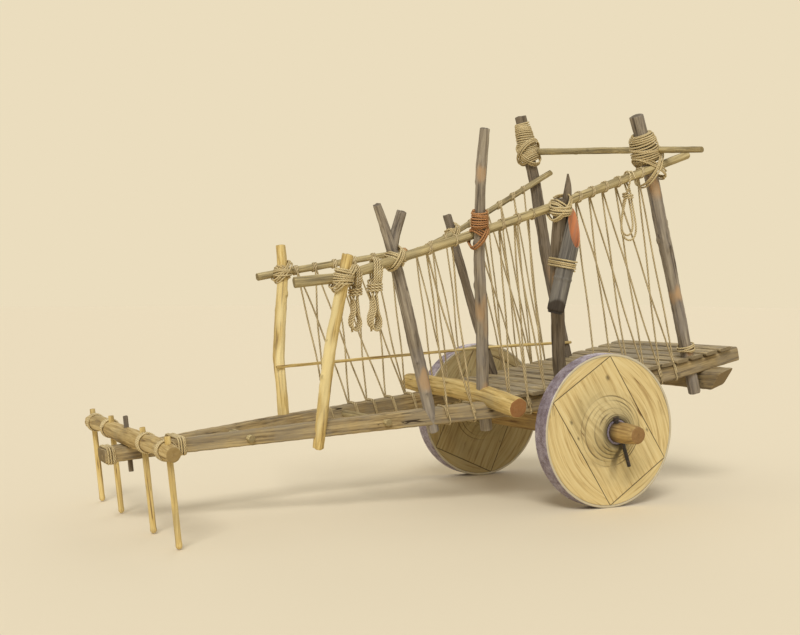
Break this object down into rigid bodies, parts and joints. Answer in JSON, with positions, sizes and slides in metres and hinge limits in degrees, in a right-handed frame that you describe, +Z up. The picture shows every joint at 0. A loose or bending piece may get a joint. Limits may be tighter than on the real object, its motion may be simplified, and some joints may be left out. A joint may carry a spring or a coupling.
{
  "type": "bullock cart",
  "caption": "Two-wheeled wooden bullock cart with solid plank wheels, crooked pole sides lashed with rope and a neck yoke, parked nose down.",
  "frame": {"origin": "on the ground, below the centre of the parked cart's box", "axes": "+X forward along the cart to the yoke, +Y to the cart's left, +Z up"},
  "size_m": [3.9756, 2.08, 2.4693],
  "materials": {
    "axle_wood": "oiled",
    "planed_wood": "weathered",
    "old_wood": "weathered",
    "log_wood": "peeled",
    "pole_wood": "peeled",
    "bark_pole": "bark",
    "wheel_wood": "worn",
    "bamboo": "smoked",
    "pitch": "matte",
    "iron": "worn",
    "rope": "twisted fibre"
  },
  "bodies": {
    "cart": {"axle": "axle_wood", "bolster": "planed_wood", "linchpins": "iron", "side_beam_left": "old_wood", "side_beam_right": "old_wood", "front_crossbar": "log_wood", "rear_crossbar": "old_wood", "spreader_rungs": "pole_wood", "floor_slats": "old_wood", "post_left_front": "bark_pole", "post_left_forked": "bark_pole", "post_left_tall": "bark_pole", "post_left_middle": "bark_pole", "post_left_rear": "bark_pole", "post_right_front": "bark_pole", "post_right_middle": "bark_pole", "post_right_rear": "bark_pole", "stake_left": "bark_pole", "top_rail_left": "bark_pole", "top_rail_right_front": "bark_pole", "top_rail_right_rear": "bark_pole", "rear_top_bar": "bark_pole", "side_lath_right": "bark_pole", "grease_tube": "bamboo", "grease_tube_plug": "pitch", "rope_lashings": "rope", "side_lacing_left": "rope", "side_lacing_right": "rope", "yoke_peg": "pole_wood", "hank_front": "rope", "hank_middle": "rope", "loop_rear": "rope"},
    "wheel_left": {"wheel_left_plank": "wheel_wood", "wheel_left_segments": "wheel_wood", "wheel_left_tyre": "iron", "wheel_left_bush": "iron"},
    "wheel_right": {"wheel_right_plank": "wheel_wood", "wheel_right_segments": "wheel_wood", "wheel_right_tyre": "iron", "wheel_right_bush": "iron"},
    "yoke": {"yoke_beam": "pole_wood", "yoke_pins": "pole_wood", "yoke_windings": "rope"}
  },
  "joints": [
    {"name": "wheel_left_spin", "type": "hinge", "parent": "cart", "child": "wheel_left", "pos_m": [-0.79314, 0.724, 0.45], "axis": [0, 1, 0], "continuous": true},
    {"name": "wheel_right_spin", "type": "hinge", "parent": "cart", "child": "wheel_right", "pos_m": [-0.79314, -0.724, 0.45], "axis": [0, 1, 0], "continuous": true},
    {"name": "yoke_swivel", "type": "hinge", "parent": "cart", "child": "yoke", "pos_m": [1.83977, 0, 0.47746], "axis": [0.1048, 0, 0.9945], "range_deg": [-15, 15]}
  ]
}
